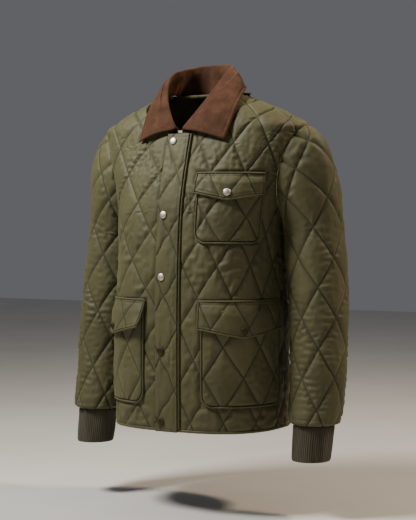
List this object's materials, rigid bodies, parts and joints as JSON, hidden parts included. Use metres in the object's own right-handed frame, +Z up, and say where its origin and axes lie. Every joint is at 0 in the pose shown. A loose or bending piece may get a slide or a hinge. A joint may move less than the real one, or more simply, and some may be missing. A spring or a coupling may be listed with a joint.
{
  "type": "quilted jacket",
  "caption": "Hollow worn-shape quilted jacket with a turned-down corduroy collar, snap placket over a zip, flapped patch pockets, bound hem and rib cuffs",
  "frame": {"origin": "the middle of the neck, level with the shoulder seams' inner ends, where the wearer's shoulders hold the jacket", "axes": "+Z up, +X to the wearer's left, the wearer faces -Y"},
  "size_m": [0.631, 0.3037, 0.8067],
  "materials": {
    "olive_nylon": "satin quilted nylon",
    "olive_binding": "satin bias binding",
    "brown_corduroy": "napped corduroy",
    "olive_rib": "matte rib knit",
    "nickel": "satin nickel",
    "dark_bronze": "antique bronze"
  },
  "bodies": {
    "root": {"back": "olive_nylon", "front_left": "olive_nylon", "front_right": "olive_nylon", "sleeve_left": "olive_nylon", "sleeve_right": "olive_nylon", "cuff_left": "olive_rib", "cuff_right": "olive_rib", "collar": "brown_corduroy", "neck_binding": "olive_binding", "hanger_loop": "olive_binding", "placket": "olive_nylon", "placket_binding": "olive_binding", "zip_end": "nickel", "hem_binding": "olive_binding", "placket_snap_1": "nickel", "placket_snap_2": "nickel", "placket_snap_3": "nickel", "placket_snap_4": "dark_bronze", "placket_snap_5": "dark_bronze", "chest_pocket": "olive_nylon", "chest_pocket_piping": "olive_binding", "chest_flap": "olive_nylon", "chest_flap_binding": "olive_binding", "chest_flap_snap": "nickel", "lower_left_pocket": "olive_nylon", "lower_left_pocket_piping": "olive_binding", "lower_left_flap": "olive_nylon", "lower_left_flap_binding": "olive_binding", "lower_left_flap_snap": "dark_bronze", "lower_right_pocket": "olive_nylon", "lower_right_pocket_piping": "olive_binding", "lower_right_flap": "olive_nylon", "lower_right_flap_binding": "olive_binding", "lower_right_flap_snap": "dark_bronze"}
  },
  "joints": []
}
